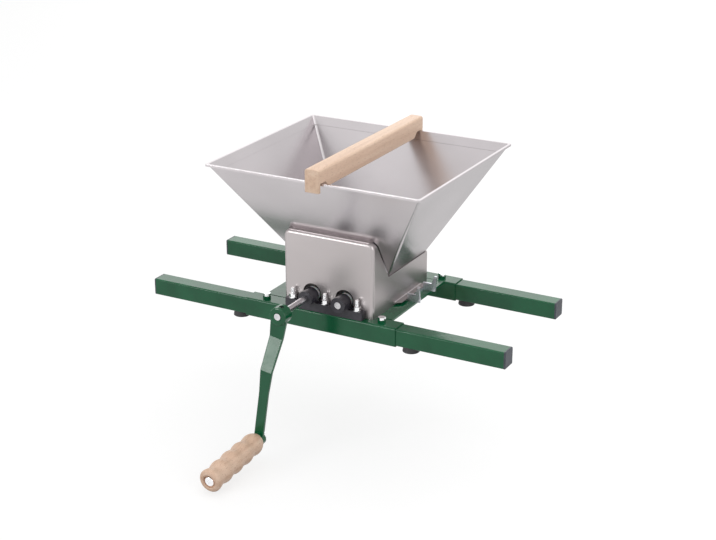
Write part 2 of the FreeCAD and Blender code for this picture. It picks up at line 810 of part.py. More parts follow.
def grip_bolt():
    """Long pan head screw through the grip and the eye of the crank."""
    eye = -crank_length
    seat = grip_outer + grip_recess_depth - turn_gap
    face = seat - grip_bolt_head_height
    end = eye_back + grip_nut_height + washer_thickness
    shank = rod_y(0, eye, grip_bolt_diameter, seat, end)
    head = rod_y(0, eye, grip_bolt_head, face, seat)
    rim = [edge for edge in head.Edges if abs(edge.CenterOfMass.y - face) < 0.01 and edge.Closed]
    head = head.makeFillet(grip_bolt_head_height / 2, rim)
    body = shank.fuse(head).removeSplitter()
    half = grip_bolt_slot_width / 2
    reach = grip_bolt_head / 4
    for across, up in ((reach, half), (half, reach)):
        body = body.cut(block(-across, across, face - 1, face + grip_bolt_head_height / 3,
                              eye - up, eye + up))
    return on_crank(droop(body))


def grip_washer():
    ring = rod_y(0, -crank_length, grip_washer_diameter, eye_front - washer_thickness, eye_front)
    bore = rod_y(0, -crank_length, grip_bolt_diameter + 2 * fit_gap, grip_inner, eye_front + 1)
    return on_crank(droop(ring.cut(bore)))


def grip_nut():
    """Nut behind the eye."""
    body = hexagon(grip_nut_flats, grip_nut_height, V(0, eye_back, -crank_length), V(0, 1, 0))
    bore = rod_y(0, -crank_length, grip_bolt_diameter + 2 * fit_gap, eye_back - 1,
                 eye_back + grip_nut_height + 1)
    return on_crank(droop(body.cut(bore)))


def arm_ends(side, pull):
    """Inner and outer end of an arm's tube."""
    edge = frame_right if side > 0 else frame_left
    outer = edge + side * (arm_reach + pull - cap_thickness)
    inner = edge - side * (arm_hold - pull)
    return inner, outer


def foot_place(side, pull):
    edge = frame_right if side > 0 else frame_left
    return edge + side * (foot_inset + pull)


def arm(side, y, pull):
    """Square tube that slides in the frame tube."""
    inner, outer = arm_ends(side, pull)
    tube = square_tube(arm_size, arm_wall, arm_corner, min(inner, outer), max(inner, outer), y,
                       arm_middle)
    x = foot_place(side, pull)
    return tube.cut(rod_z(x, y, foot_screw_diameter + 2 * fit_gap, 0, arm_middle))


def end_cap(side, y, pull):
    """Black plastic cap with a hollow plug that pushes into the tube."""
    inner, outer = arm_ends(side, pull)
    face = rounded_bar(arm_size, arm_size, arm_corner, min(outer, outer + side * cap_thickness),
                       max(outer, outer + side * cap_thickness), y, arm_middle)
    rim = [edge for edge in face.Edges
           if abs(edge.CenterOfMass.x - outer - side * cap_thickness) < 0.01]
    face = face.makeChamfer(cap_edge, rim)
    plug_size = arm_size - 2 * (arm_wall + seat_gap)
    ends = sorted((outer, outer - side * cap_plug_depth))
    plug = square_tube(plug_size, cap_plug_wall, arm_corner / 2, ends[0], ends[1], y, arm_middle)
    return face.fuse(plug).removeSplitter()


def foot(x, y):
    """Rubber foot, a little wider below, with a recess for its screw."""
    cone = Part.makeCone(foot_diameter / 2, foot_top_diameter / 2, foot_height, V(x, y, 0))
    low = [edge for edge in cone.Edges if edge.CenterOfMass.z < 0.01 and edge.Closed]
    cone = cone.makeFillet(foot_screw_recess / 2, low)
    seat = foot_screw_recess + foot_screw_head_height
    cone = cone.cut(rod_z(x, y, foot_screw_head + 2 * seat_gap, -1, seat))
    return cone.cut(rod_z(x, y, foot_screw_diameter + 2 * fit_gap, -1, foot_height + 1))


def foot_screw(x, y):
    head = rod_z(x, y, foot_screw_head, foot_screw_recess, foot_screw_recess + foot_screw_head_height)
    shank = rod_z(x, y, foot_screw_diameter, foot_screw_recess, foot_height + foot_screw_reach)
    return head.fuse(shank).removeSplitter()


os.makedirs("parts", exist_ok=True)

save("frame_tube_front", frame_tube(-1))
save("frame_tube_rear", frame_tube(1))
save("cross_plate_left", cross_plate(-1))
save("cross_plate_right", cross_plate(1))
save("clamp_nuts", *[nut(x, y, frame_top, nut_flats, clamp_nut_height, clamp_diameter)
                     for x, y in clamp_places()])
save("clamp_screws", *[clamp_screw(x, y) for x, y in clamp_places()])

save("bearing_block_front", bearing_block(block_shift, block_length, stud_places(-1)))
save("bearing_block_rear", mirror_y(bearing_block(0, rear_block_length, stud_places(1))))
front_bushes = [bush(x) for x in (drive_x, idler_x)]
save("bushes_front", *front_bushes)
save("bushes_rear", *[mirror_y(one) for one in front_bushes])
seat_z = frame_top + block_height
all_studs = stud_places(-1) + stud_places(1)
save("bearing_studs", *[stud(x, y) for x, y in all_studs])
save("bearing_washers", *[washer(x, y, seat_z) for x, y in all_studs])
save("bearing_nuts", *[nut(x, y, seat_z + washer_thickness, nut_flats, nut_height, stud_diameter)
                       for x, y in all_studs])

save("box_shell", box_shell())
save("gear_partition", cross_wall(throat_front - seat_gap - sheet))
save("box_rear_plate", cross_wall(box_rear - sheet))
right_guide = side_guide()
save("side_guide_right", right_guide)
save("side_guide_left", mirror_x(right_guide))
save("side_bracket_left", side_bracket(-1))
save("side_bracket_right", side_bracket(1))
bracket_places = bracket_screw_places(-1) + bracket_screw_places(1)
save("bracket_screws", *[bracket_screw(x, y) for x, y in bracket_places])
save("bracket_nuts", *[bracket_nut(x, y) for x, y in bracket_places])

save("hopper", hopper())
save("hopper_bar", hopper_bar())

save("drive_shaft", shaft(drive_x, crank_front - crank_hub_proud))
save("drive_gear", gear(drive_x))
save("drive_roller", roller(drive_x, -1))
save("drive_pins", *pins(drive_x))
save("idler_shaft", shaft(idler_x, -boss_end))
save("idler_gear", gear(idler_x))
save("idler_roller", roller(idler_x, 1))
save("idler_pins", *pins(idler_x))

save("crank_arm", crank_arm())
save("crank_set_screw", set_screw())
save("grip", grip())
save("grip_bolt", grip_bolt())
save("grip_washer", grip_washer())
save("grip_nut", grip_nut())

for name, pull in arm_pulls.items():
    side = 1 if name.endswith("right") else -1
    y = tube_y if name.startswith("rear") else -tube_y
    place = foot_place(side, pull)
    save("arm_" + name, arm(side, y, pull))
    save("end_cap_" + name, end_cap(side, y, pull))
    save("foot_" + name, foot(place, y))
    save("foot_screw_" + name, foot_screw(place, y))
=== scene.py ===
import bpy
import bmesh
from math import radians, cos, pi, sqrt
from mathutils import Matrix, Vector


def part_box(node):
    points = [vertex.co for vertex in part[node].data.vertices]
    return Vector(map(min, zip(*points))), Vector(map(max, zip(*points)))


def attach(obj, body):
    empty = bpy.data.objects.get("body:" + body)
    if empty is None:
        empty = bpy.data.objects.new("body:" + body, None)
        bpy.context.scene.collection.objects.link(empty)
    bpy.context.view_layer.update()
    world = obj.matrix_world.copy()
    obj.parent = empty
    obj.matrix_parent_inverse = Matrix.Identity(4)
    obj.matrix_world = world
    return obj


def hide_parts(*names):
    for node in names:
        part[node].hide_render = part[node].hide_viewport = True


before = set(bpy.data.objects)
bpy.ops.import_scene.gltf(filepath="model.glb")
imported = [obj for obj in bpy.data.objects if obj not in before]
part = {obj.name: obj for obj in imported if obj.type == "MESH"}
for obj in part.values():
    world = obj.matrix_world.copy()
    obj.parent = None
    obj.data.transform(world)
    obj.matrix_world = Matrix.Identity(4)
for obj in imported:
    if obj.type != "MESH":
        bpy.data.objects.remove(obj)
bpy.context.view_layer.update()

# Studio. A white room with a pale floor just below the hanging crank, one large soft light
# overhead, one on each side in front and one behind. The camera stands to the right of the crank.
bpy.context.scene.view_settings.view_transform = "Standard"

lens = bpy.data.cameras.new("camera")
lens.lens = 78.28
lens.sensor_width = 36.0
camera = bpy.data.objects.new("camera", lens)
camera.location = (1.0140, -1.8723, 0.8815)
camera.rotation_euler = (radians(68.99), 0.0, radians(28.57))
bpy.context.scene.collection.objects.link(camera)
bpy.context.scene.camera = camera

room_light, room_white = 0.48, 1.0
floor_radius, floor_height = 14.0, -0.166
paper_grey, paper_glow = 0.32, 0.74


def seen_directly(tree):
    """1 for what the camera sees straight, in a mirror or through glass, otherwise 0."""
    ray = tree.nodes.new("ShaderNodeLightPath")
    total = ray.outputs["Is Camera Ray"]
    for kind in ("Is Glossy Ray", "Is Transmission Ray"):
        either = tree.nodes.new("ShaderNodeMath")
        either.operation = "MAXIMUM"
        tree.links.new(total, either.inputs[0])
        tree.links.new(ray.outputs[kind], either.inputs[1])
        total = either.outputs[0]
    return total


def between(tree, value, low, high):
    """A value from 0 to 1 becomes one from low to high."""
    span = tree.nodes.new("ShaderNodeMapRange")
    span.inputs["To Min"].default_value = low
    span.inputs["To Max"].default_value = high
    tree.links.new(value, span.inputs["Value"])
    return span.outputs["Result"]


room = bpy.data.worlds.new("white_room")
room.use_nodes = True
bpy.context.scene.world = room
tree = room.node_tree
air = tree.nodes["Background"]
air.inputs["Color"].default_value = (1.0, 1.0, 1.0, 1.0)
tree.links.new(between(tree, seen_directly(tree), room_light, room_white), air.inputs["Strength"])

bpy.ops.object.select_all(action="DESELECT")
bpy.ops.mesh.primitive_circle_add(vertices=64, radius=floor_radius, fill_type="NGON",
                                  location=(0.0, 0.0, floor_height))
floor = bpy.context.object
floor.name = "floor"
bpy.ops.object.transform_apply(location=True, rotation=False, scale=False)
paper = bpy.data.materials.new("white_paper")
paper.use_nodes = True
tree = paper.node_tree
surface = tree.nodes["Principled BSDF"]
surface.inputs["Base Color"].default_value = (paper_grey, paper_grey, paper_grey, 1.0)
surface.inputs["Roughness"].default_value = 0.9
surface.inputs["Specular IOR Level"].default_value = 0.0
surface.inputs["Emission Color"].default_value = (1.0, 1.0, 1.0, 1.0)
tree.links.new(between(tree, seen_directly(tree), 0.0, paper_glow),
               surface.inputs["Emission Strength"])
floor.data.materials.append(paper)

for name, size, watts, place in (("light_above", 2.6, 26.0, (0.2, 0.6, 2.4)),
                                 ("light_left", 0.8, 17.0, (-1.25, -2.4, 0.62)),
                                 ("light_right", 1.8, 17.0, (2.3, -1.2, 1.0)),
                                 ("light_behind", 2.8, 22.0, (-1.3, 3.0, 1.5))):
    lamp = bpy.data.lights.new(name, "AREA")
    lamp.size = size
    lamp.energy = watts
    holder = bpy.data.objects.new(name, lamp)
    holder.location = place
    holder.rotation_euler = Vector(place).to_track_quat("Z", "Y").to_euler()
    holder.visible_camera = False
    bpy.context.scene.collection.objects.link(holder)

# Frame tubes. Two square steel tubes, front and rear, stove enamelled deep green with a full
# gloss. The enamel lies a little uneven and is darker where it ran thick.


def new_finish(name, colour, roughness, metallic=0.0):
    """A material, with its node tree, its shader and the coordinates that its patterns follow."""
    finish = bpy.data.materials.new(name)
    finish.use_nodes = True
    tree = finish.node_tree
    shader = tree.nodes["Principled BSDF"]
    shader.inputs["Base Color"].default_value = (*colour, 1.0)
    shader.inputs["Roughness"].default_value = roughness
    shader.inputs["Metallic"].default_value = metallic
    place = tree.nodes.new("ShaderNodeTexCoord").outputs["Object"]
    return finish, tree, shader, place


def cloud(tree, place, per_metre, detail=3.0, rough=0.5):
    """Soft spots. per_metre is how many lie along a metre, one number or one each for x, y, z."""
    spread = tree.nodes.new("ShaderNodeMapping")
    spread.inputs["Scale"].default_value = (per_metre if isinstance(per_metre, tuple)
                                            else (per_metre, per_metre, per_metre))
    tree.links.new(place, spread.inputs["Vector"])
    spots = tree.nodes.new("ShaderNodeTexNoise")
    spots.inputs["Scale"].default_value = 1.0
    spots.inputs["Detail"].default_value = detail
    spots.inputs["Roughness"].default_value = rough
    tree.links.new(spread.outputs["Vector"], spots.inputs["Vector"])
    return spots.outputs["Fac"]


def tones(tree, value, *stops):
    """Colours along a value: each stop is (value, colour)."""
    ramp = tree.nodes.new("ShaderNodeValToRGB")
    marks = ramp.color_ramp.elements
    while len(marks) < len(stops):
        marks.new(0.5)
    for mark, (at, colour) in zip(marks, stops):
        mark.position = at
        mark.color = (*colour, 1.0)
    tree.links.new(value, ramp.inputs["Fac"])
    return ramp.outputs["Color"]


def coloured(tree, shader, value, low_tone, high_tone, bounds=(0.3, 0.7)):
    """The colour goes from one tone to the other as a value goes from bound to bound."""
    blend = tones(tree, value, (bounds[0], low_tone), (bounds[1], high_tone))
    tree.links.new(blend, shader.inputs["Base Color"])


def dulled(tree, shader, value, low, high):
    """The roughness follows a value, between low and high."""
    tree.links.new(between(tree, value, low, high), shader.inputs["Roughness"])


def relief(tree, shader, *layers):
    """Unevenness: each layer is (height value, depth in metres)."""
    last = None
    for height, depth in layers:
        dent = tree.nodes.new("ShaderNodeBump")
        dent.inputs["Strength"].default_value = 1.0
        dent.inputs["Distance"].default_value = depth
        tree.links.new(height, dent.inputs["Height"])
        if last:
            tree.links.new(last, dent.inputs["Normal"])
        last = dent.outputs["Normal"]
    tree.links.new(last, shader.inputs["Normal"])


def dress(finish, *names):
    """Give CAD nodes a finish."""
    for name in names:
        for one in part[name].material_slots:
            one.material = finish


green, tree, shader, place = new_finish("green_enamel", (0.004, 0.105, 0.042), 0.16)
shader.inputs["IOR"].default_value = 1.42
coloured(tree, shader, cloud(tree, place, 26, detail=4.0),
         (0.003, 0.094, 0.036), (0.006, 0.122, 0.048), bounds=(0.35, 0.65))
dulled(tree, shader, cloud(tree, place, 70), 0.10, 0.22)
relief(tree, shader, (cloud(tree, place, 110, detail=1.0), 0.00012),
       (cloud(tree, place, 480, detail=2.0), 0.00003))
dress(green, "frame_tube_front", "frame_tube_rear")

# Cross plates. Flat steel plate, welded between the two tubes on either side of the rollers and
# enamelled together with them.
dress(green, "cross_plate_left", "cross_plate_right")

# Arms. Four lengths of square steel tube, a size smaller, that slide in the ends of the frame
# tubes. They are enamelled the same green.
ends = ("front_left", "front_right", "rear_left", "rear_right")
dress(green, *["arm_" + end for end in ends])

# End caps of the arms. Black moulded plastic with a fine spark-eroded grain. Each has a hollow
# plug behind its face that is pushed into the open tube by hand.
cap_plastic, tree, shader, place = new_finish("cap_plastic", (0.045, 0.051, 0.064), 0.5)
coloured(tree, shader, cloud(tree, place, 160, detail=5.0),
         (0.032, 0.037, 0.048), (0.068, 0.076, 0.095))
relief(tree, shader, (cloud(tree, place, 1400), 0.00008))
dress(cap_plastic, *["end_cap_" + end for end in ends])

# Feet. Black rubber, moulded a little wider below, with a slightly dusty skin. One stands under
# each arm, just outside its frame tube.
rubber, tree, shader, place = new_finish("foot_rubber", (0.022, 0.022, 0.024), 0.62)
coloured(tree, shader, cloud(tree, place, 90, detail=5.0),
         (0.016, 0.016, 0.018), (0.045, 0.045, 0.047))
relief(tree, shader, (cloud(tree, place, 900), 0.00008))
dress(rubber, *["foot_" + end for end in ends])

# Foot screws. Steel with a milky zinc plating that shows a fine spangle. One goes up through
# each foot and holds it on its arm.
spangles_per_metre = 420.0
zinc, tree, shader, place = new_finish("zinc_plate", (0.78, 0.79, 0.83), 0.34, 1.0)
spangle = tree.nodes.new("ShaderNodeTexVoronoi")
spangle.inputs["Scale"].default_value = spangles_per_metre
tree.links.new(place, spangle.inputs["Vector"])
coloured(tree, shader, spangle.outputs["Distance"],
         (0.86, 0.87, 0.92), (0.62, 0.62, 0.67), bounds=(0.0, 0.8))
dulled(tree, shader, cloud(tree, place, 260, detail=4.0), 0.24, 0.5)
relief(tree, shader, (spangle.outputs["Distance"], 0.00006))
dress(zinc, *["foot_screw_" + end for end in ends])

# Side brackets, with their screws and nuts. Zinc plated strip, cut and bent in a press, with two
# ears. Countersunk screws hold the flange of the box and the bracket down on the cross plate.
dress(zinc, "side_bracket_left", "side_bracket_right", "bracket_screws", "bracket_nuts")

# Clamp nuts. Four M6 hexagon nuts with chamfered corners, welded on top of the frame tubes and
# enamelled with them.


def take(piece):
    """Select a piece alone and make it the active one."""
    bpy.ops.object.select_all(action="DESELECT")
    piece.select_set(True)
    bpy.context.view_layer.objects.active = piece


def turned(name, stations, sides=48):
    """Round piece along +Z, drawn out ring by ring. Each station is (height, radius)."""
    (low, first), rest = stations[0], stations[1:]
    bpy.ops.object.select_all(action="DESELECT")
    bpy.ops.mesh.primitive_circle_add(vertices=sides, radius=first, fill_type="NGON",
                                      location=(0.0, 0.0, low))
    piece = bpy.context.object
    piece.name = name
    piece.data.name = name
    bpy.ops.object.transform_apply(location=True, rotation=False, scale=False)
    bpy.ops.object.mode_set(mode="EDIT")
    bpy.ops.mesh.select_all(action="SELECT")
    height, radius = low, first
    for up, wide in rest:
        bpy.ops.mesh.extrude_region_move(
            TRANSFORM_OT_translate={"value": (0.0, 0.0, up - height)})
        if wide != radius:
            share = wide / radius
            bpy.ops.transform.resize(value=(share, share, 1.0), center_override=(0.0, 0.0, up))
        height, radius = up, wide
    bpy.ops.mesh.select_all(action="SELECT")
    bpy.ops.mesh.normals_make_consistent(inside=False)
    bpy.ops.object.mode_set(mode="OBJECT")
    return piece


def shaped_by(piece, other, way):
    """Cut a piece by another, join them, or keep what both share. The other is used up."""
    cut = piece.modifiers.new("cut", "BOOLEAN")
    cut.operation = way
    cut.solver = "EXACT"
    cut.object = other
    bpy.context.view_layer.objects.active = piece
    bpy.ops.object.modifier_apply(modifier="cut")
    bpy.data.objects.remove(other)


def smooth(piece, degrees):
    """Round faces shade smoothly, and edges sharper than this stay crisp."""
    take(piece)
    bpy.ops.object.shade_smooth_by_angle(angle=radians(degrees))


def settle(piece, place):
    """Move a piece by a matrix and keep the new place in its mesh."""
    take(piece)
    piece.matrix_world = place
    bpy.ops.object.transform_apply(location=True, rotation=True, scale=True)


def put(piece, place, body, finish):
    """Settle a piece, give it a finish and fix it to a body."""
    settle(piece, place)
    piece.data.materials.clear()
    piece.data.materials.append(finish)
    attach(piece, body)


def set_of(piece, name, places, finish, node):
    """Copies of a piece, one at each place on the frame, that stand for a CAD node."""
    for number, place in enumerate(places, 1):
        twin = piece.copy()
        twin.data = piece.data.copy()
        twin.name = "%s_%d" % (name, number)
        bpy.context.scene.collection.objects.link(twin)
        put(twin, Matrix.Translation(place), "frame", finish)
        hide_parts(node)
    bpy.data.objects.remove(piece)


def hexagon_piece(name, flats, height, bore, chamfer):
    """Hexagon with chamfered corners above and below, standing on z = 0, with a bore or none."""
    corner = flats / sqrt(3.0)
    drop, reach, clear = chamfer * 0.55, corner - chamfer, corner + 0.00002
    piece = turned(name, ((0.0, corner), (height, corner)), 6)
    round_off = turned("round_off", ((0.0, reach), (drop, clear), (height - drop, clear),
                                     (height, reach)), 64)
    shaped_by(piece, round_off, "INTERSECT")
    if bore:
        drill = turned("drill", ((-0.001, bore), (height + 0.001, bore)), 40)
        shaped_by(piece, drill, "DIFFERENCE")
    smooth(piece, 30.0)
    return piece


m6_flats, m6_bore = 0.010, 0.00302
tube_top = 0.0345
clamp_places = ((-0.103, -0.097), (0.085, -0.097), (-0.103, 0.097), (0.085, 0.097))
clamp_nut = hexagon_piece("clamp_nut", m6_flats, height=0.0034, bore=m6_bore, chamfer=0.0007)
set_of(clamp_nut, "clamp_nut", [(x, y, tube_top) for x, y in clamp_places], green,
       "clamp_nuts")

# Clamp screws. Bright plated M6 hexagon screws, which go down through the welded nuts and press
# on the arms, so each arm stays where it was slid to.
bright, tree, shader, place = new_finish("bright_plating", (0.92, 0.92, 0.93), 0.1, 1.0)
coloured(tree, shader, cloud(tree, place, 500, detail=4.0), (0.86, 0.86, 0.88), (0.97, 0.97, 0.97))
dulled(tree, shader, cloud(tree, place, (300, 300, 900), detail=4.0), 0.05, 0.16)
relief(tree, shader, (cloud(tree, place, 1600, detail=2.0), 0.00002))

head_low = tube_top + 0.0036
shank_end, shank_tip, shank_radius = -0.0049, 0.0028, 0.0030
clamp_screw = hexagon_piece("clamp_screw", m6_flats, height=0.0040, bore=0.0, chamfer=0.0008)
shank = turned("shank", ((shank_end, shank_tip), (shank_end + 0.0004, shank_radius),
                         (0.0002, shank_radius)), 32)
shaped_by(clamp_screw, shank, "UNION")
smooth(clamp_screw, 30.0)
set_of(clamp_screw, "clamp_screw", [(x, y, head_low) for x, y in clamp_places], bright,
       "clamp_screws")

# Bearing blocks. Black moulded blocks, front and rear, with a boss round each shaft. Studs
# hold them down on the frame tubes.
block_black, tree, shader, place = new_finish("block_black", (0.024, 0.022, 0.030), 0.34)
coloured(tree, shader, cloud(tree, place, 120, detail=5.0),
         (0.017, 0.016, 0.023), (0.040, 0.037, 0.048))
relief(tree, shader, (cloud(tree, place, 800), 0.00006))
dress(block_black, "bearing_block_front", "bearing_block_rear")

# Bushes. Pale nylon, pressed into the bearing blocks round the shafts. Their flanges show in the
# slots of the box.
nylon, tree, shader, place = new_finish("bush_nylon", (0.86, 0.86, 0.87), 0.4)
shader.inputs["Subsurface Weight"].default_value = 0.2
shader.inputs["Subsurface Scale"].default_value = 0.001
coloured(tree, shader, cloud(tree, place, 200), (0.82, 0.82, 0.84), (0.90, 0.90, 0.91))
relief(tree, shader, (cloud(tree, place, 700), 0.00003))
dress(nylon, "bushes_front", "bushes_rear")

# Studs of the bearing blocks. Bright plated M6, three in front and three behind, with a
# chamfered tip and a thread that stands out above the nut.
stud_places = ((-0.0545, -0.10415), (-0.0025, -0.10415), (0.0495, -0.10415),
               (-0.0455, 0.10415), (0.0, 0.10415), (0.0455, 0.10415))
stud_low, stud_high = 0.0333, 0.0625
stud_foot, stud_radius, stud_slope, stud_tip = 0.00235, 0.00262, 0.0021, 0.0018
thread_pitch, thread_radius, thread_size = 0.001, 0.00272, 0.00042
thread_start = (thread_radius, 0.0, stud_low + 0.0006)
turns = int((stud_high - stud_low - 0.0018) / thread_pitch)
steps_per_turn = 20
stud = turned("stud", ((stud_low, stud_foot), (stud_low + 0.0003, stud_radius),
                       (stud_high - 0.0008, stud_radius), (stud_high - 0.0001, stud_slope),
                       (stud_high, stud_tip)), 32)
smooth(stud, 35.0)
bpy.ops.object.select_all(action="DESELECT")
bpy.ops.mesh.primitive_circle_add(vertices=3, radius=thread_size, location=thread_start,
                                  rotation=(pi / 2, 0.0, 0.0))
thread = bpy.context.object
bpy.ops.object.transform_apply(location=True, rotation=True, scale=True)
bpy.ops.object.mode_set(mode="EDIT")
bpy.ops.mesh.select_all(action="SELECT")
bpy.ops.transform.rotate(value=pi / 2, orient_axis="Y", center_override=thread_start)
bpy.ops.object.mode_set(mode="OBJECT")
winding = thread.modifiers.new("winding", "SCREW")
winding.screw_offset = thread_pitch
winding.iterations = turns
winding.steps = steps_per_turn
winding.render_steps = steps_per_turn
winding.use_merge_vertices = False
bpy.ops.object.modifier_apply(modifier="winding")
bpy.ops.object.mode_set(mode="EDIT")
bpy.ops.mesh.select_all(action="DESELECT")
bpy.ops.mesh.select_mode(type="EDGE")
bpy.ops.mesh.select_non_manifold()
bpy.ops.mesh.edge_face_add()
bpy.ops.mesh.select_all(action="SELECT")
bpy.ops.mesh.normals_make_consistent(inside=False)
bpy.ops.object.mode_set(mode="OBJECT")
take(stud)
thread.select_set(True)
bpy.ops.object.join()
set_of(stud, "stud", [(x, y, 0.0) for x, y in stud_places], bright,
       "bearing_studs")

# Washers of the bearing blocks. Plain M6 washers, punched from steel and bright plated, one on
# the block at each stud.
block_top = 0.0472
washer_height, washer_radius, washer_face, washer_break = 0.0012, 0.0055, 0.0053, 0.0001
washer = turned("washer", ((0.0, washer_face), (washer_break, washer_radius),
                           (washer_height - washer_break, washer_radius),
                           (washer_height, washer_face)), 48)
drill = turned("drill", ((-0.001, m6_bore), (0.002, m6_bore)), 40)
shaped_by(washer, drill, "DIFFERENCE")
smooth(washer, 35.0)
set_of(washer, "washer", [(x, y, block_top) for x, y in stud_places], bright,
       "bearing_washers")

# Nuts of the bearing blocks. Bright plated M6 hexagon nuts, tightened on the washers, with
# the ends of the studs standing out above them.
nut_low = block_top + washer_height
bearing_nut = hexagon_piece("bearing_nut", m6_flats, height=0.0050, bore=m6_bore, chamfer=0.0008)
set_of(bearing_nut, "bearing_nut", [(x, y, nut_low) for x, y in stud_places], bright,
       "bearing_nuts")

# Box. Folded from 1 mm stainless sheet that was ground to a satin, so it shows what stands
# close to it only as soft smudges. A plate closes its rear.


def sheet_metal(name, colour, smoothest, roughest, along_edge):
    """Stainless sheet: cloudy in colour and waviness, with faint grinding lines across it."""
    finish, tree, shader, place = new_finish(name, colour, smoothest, 1.0)
    shader.inputs["Specular Tint"].default_value = (along_edge, along_edge, along_edge, 1.0)
    dark, pale = (tuple(share * one for one in colour) for share in (0.96, 1.04))
    coloured(tree, shader, cloud(tree, place, (9, 9, 14)), dark, pale)
    lines = cloud(tree, place, (14, 14, 2600), detail=2.0, rough=0.6)
    dulled(tree, shader, lines, smoothest, roughest)
    relief(tree, shader, (lines, 0.000002), (cloud(tree, place, 7, detail=2.0), 0.0003))
    return finish


satin = sheet_metal("satin_stainless", (0.455, 0.420, 0.420), smoothest=0.30, roughest=0.40,
                    along_edge=0.83)
dress(satin, "box_shell", "box_rear_plate")

# Partition and guides. The same satin sheet inside the box: one wall keeps the fruit off the
# gears, and a strip on each side sends it to the rollers.
dress(satin, "gear_partition", "side_guide_left", "side_guide_right")

# Hopper. Four walls of 1 mm stainless sheet, bent and welded at the corners, with a hem folded
# inwards round the mouth. Its mill finish is brighter than the box and mirrors the frame.


def pick(piece, kind, wanted):
    """In edit mode, select only the faces or edges whose middle passes a test."""
    bpy.ops.mesh.select_all(action="DESELECT")
    bpy.ops.mesh.select_mode(type=kind)
    shape = bmesh.from_edit_mesh(piece.data)
    for one in shape.faces if kind == "FACE" else shape.edges:
        middle = sum((v.co for v in one.verts), Vector()) / len(one.verts)
        if wanted(middle, one):
            one.select_set(True)
    bmesh.update_edit_mesh(piece.data)


mill = sheet_metal("mill_stainless", (0.57, 0.537, 0.550), smoothest=0.20, roughest=0.28,
                   along_edge=0.72)
rim_top, rim_side, rim_end = 0.2412, 0.1680, 0.1495
corner_bend, rim_break = 0.0032, 0.00025
narrowest_wall, rim_width, near = 0.1, 0.0018, 0.0001
# Each row is a height, half the width there, and where the front and the rear wall are: up the
# outside, over the rim, down to the edge of the hem, and down the inside.
skin = ((0.0684, 0.0708, -0.0500, 0.0700), (0.0834, 0.0708, -0.0500, 0.0700),
        (0.2382, 0.16468, -0.14614, 0.14651), (0.2382, rim_side, -rim_end, rim_end),
        (rim_top, rim_side, -rim_end, rim_end), (rim_top, 0.16416, -0.14565, 0.14577),
        (0.2292, 0.15689, -0.13819, 0.13984), (0.2292, 0.15806, -0.13936, 0.14095),
        (0.08367, 0.0698, -0.0490, 0.0690), (0.0684, 0.0698, -0.0490, 0.0690))
z, half, front, rear = skin[0]
middle = (0.0, (front + rear) / 2, z)
bpy.ops.object.select_all(action="DESELECT")
bpy.ops.mesh.primitive_plane_add(size=2.0, location=middle)
walls = bpy.context.object
walls.name = "hopper_walls"
walls.data.name = "hopper_walls"
bpy.ops.object.transform_apply(location=True, rotation=True, scale=True)
bpy.ops.object.mode_set(mode="EDIT")
bpy.ops.mesh.select_all(action="SELECT")
bpy.ops.transform.resize(value=(half, (rear - front) / 2, 1.0), center_override=middle)
bpy.ops.mesh.delete(type="ONLY_FACE")
bpy.ops.mesh.select_all(action="SELECT")
for next_z, next_half, next_front, next_rear in skin[1:]:
    bpy.ops.mesh.extrude_region_move(TRANSFORM_OT_translate={
        "value": (0.0, (next_front + next_rear - front - rear) / 2, next_z - z)})
    share = (next_rear - next_front) / (rear - front)
    bpy.ops.transform.resize(value=(next_half / half, share, 1.0),
                             center_override=(0.0, (next_front + next_rear) / 2, next_z))
    z, half, front, rear = next_z, next_half, next_front, next_rear
bpy.ops.mesh.select_all(action="DESELECT")
bpy.ops.mesh.select_mode(type="EDGE")
bpy.ops.mesh.select_non_manifold()
bpy.ops.mesh.bridge_edge_loops()
bpy.ops.mesh.select_all(action="SELECT")
bpy.ops.mesh.normals_make_consistent(inside=False)


def at_corner(middle, edge):
    """True for an edge that runs up a corner of the hopper, not along a wall."""
    one, other = edge.verts[0].co, edge.verts[1].co
    return one.x * other.x > 0 and abs(one.y - other.y) < narrowest_wall


def on_rim(middle, edge):
    """True for an outer edge round the top of the rim."""
    return (min(v.co.z for v in edge.verts) > rim_top - near
            and (abs(middle.x) > rim_side - rim_width or abs(middle.y) > rim_end - rim_width))


pick(walls, "EDGE", at_corner)
bpy.ops.mesh.bevel(offset=corner_bend, segments=6, affect="EDGES")
pick(walls, "EDGE", on_rim)
bpy.ops.mesh.bevel(offset=rim_break, segments=2, affect="EDGES")
bpy.ops.object.mode_set(mode="OBJECT")
smooth(walls, 30.0)
even = walls.modifiers.new("even_shading", "WEIGHTED_NORMAL")
even.keep_sharp = True
even.weight = 100
bpy.ops.object.modifier_apply(modifier="even_shading")
put(walls, Matrix.Identity(4), "frame", mill)
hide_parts("hopper")

# Wooden bar. Sawn from one beech board, with a notch at each end that drops over the rim of the
# hopper. The long top edges are rounded with a plane, the others are broken with sandpaper.


